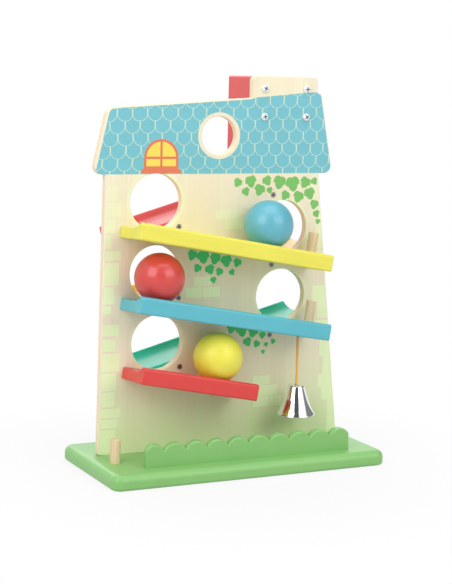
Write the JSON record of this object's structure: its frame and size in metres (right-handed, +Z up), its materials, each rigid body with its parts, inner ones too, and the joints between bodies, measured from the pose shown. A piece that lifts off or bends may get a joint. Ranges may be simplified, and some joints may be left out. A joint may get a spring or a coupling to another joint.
{
  "type": "wooden ball drop box toy",
  "caption": "House-shaped wooden ball run: balls dropped in the chimney roll down sloping rails through holes in the board, then ring a small bell.",
  "frame": {"origin": "under the middle of the outline, on the surface the base stands on", "axes": "+Z up, +X along the house board to the chimney side, -Y towards the printed front"},
  "size_m": [0.276, 0.141, 0.3616],
  "materials": {
    "green_paint": "satin lacquer over wood",
    "cream_paint": "printed and lacquered plywood",
    "red_paint": "satin lacquer over wood",
    "yellow_paint": "satin lacquer over wood",
    "blue_paint": "satin lacquer over wood",
    "gold_paint": "satin lacquer over wood",
    "teal_paint": "satin lacquer over wood",
    "bare_wood": "clear lacquer",
    "cord_fibre": "twisted cord",
    "screw_steel": "zinc plated",
    "bell_chrome": "polished"
  },
  "bodies": {
    "frame": {"base_board": "green_paint", "hedge_board": "green_paint", "ball_peg": "bare_wood", "house_panel": "cream_paint", "chimney_block": "red_paint", "front_rail_upper": "yellow_paint", "front_rail_middle": "blue_paint", "front_rail_lower": "red_paint", "rear_rail_upper": "red_paint", "rear_rail_middle": "gold_paint", "rear_rail_lower": "teal_paint", "front_stop_post_upper": "bare_wood", "front_stop_post_middle": "bare_wood", "rear_stop_post_upper": "bare_wood", "rear_stop_post_middle": "bare_wood", "rear_stop_post_lower": "bare_wood", "chimney_screw_1": "screw_steel", "chimney_screw_2": "screw_steel", "chimney_screw_3": "screw_steel", "chimney_screw_4": "screw_steel", "front_rail_upper_screw_1": "screw_steel", "front_rail_upper_screw_2": "screw_steel", "front_rail_middle_screw_1": "screw_steel", "front_rail_middle_screw_2": "screw_steel", "front_rail_lower_screw_1": "screw_steel", "front_rail_lower_screw_2": "screw_steel", "rear_rail_upper_screw_1": "screw_steel", "rear_rail_upper_screw_2": "screw_steel", "rear_rail_middle_screw_1": "screw_steel", "rear_rail_middle_screw_2": "screw_steel", "rear_rail_lower_screw_1": "screw_steel", "rear_rail_lower_screw_2": "screw_steel", "base_screw_1": "screw_steel", "base_screw_2": "screw_steel", "base_screw_3": "screw_steel"},
    "ball_blue": {"ball_blue": "blue_paint"},
    "ball_red": {"ball_red": "red_paint"},
    "ball_yellow": {"ball_yellow": "yellow_paint"},
    "cord": {"bell_cord": "cord_fibre", "cord_knot": "cord_fibre"},
    "bell": {"bell": "bell_chrome"},
    "clapper": {"bell_clapper": "screw_steel"}
  },
  "joints": [
    {"name": "blue_ball_roll", "type": "slide", "parent": "frame", "child": "ball_blue", "axis": [0.9842, 0, -0.1771], "range_m": [-0.1057, 0.0269]},
    {"name": "red_ball_roll", "type": "slide", "parent": "frame", "child": "ball_red", "axis": [0.9842, 0, -0.1771], "range_m": [-0.004, 0.138]},
    {"name": "yellow_ball_roll", "type": "slide", "parent": "frame", "child": "ball_yellow", "axis": [0.9803, 0, -0.1977], "range_m": [-0.052, 0.024]},
    {"name": "cord_swing", "type": "hinge", "parent": "frame", "child": "cord", "pos_m": [0.0674, -0.01845, 0.11868], "axis": [0, 1, 0], "range_deg": [-20, 20]},
    {"name": "bell_rock", "type": "hinge", "parent": "cord", "child": "bell", "pos_m": [0.0674, -0.01845, 0.07178], "axis": [0, 1, 0], "range_deg": [-12, 12]},
    {"name": "clapper_swing", "type": "hinge", "parent": "cord", "child": "clapper", "pos_m": [0.0674, -0.01845, 0.06528], "axis": [0, 1, 0], "range_deg": [-15, 15]}
  ]
}
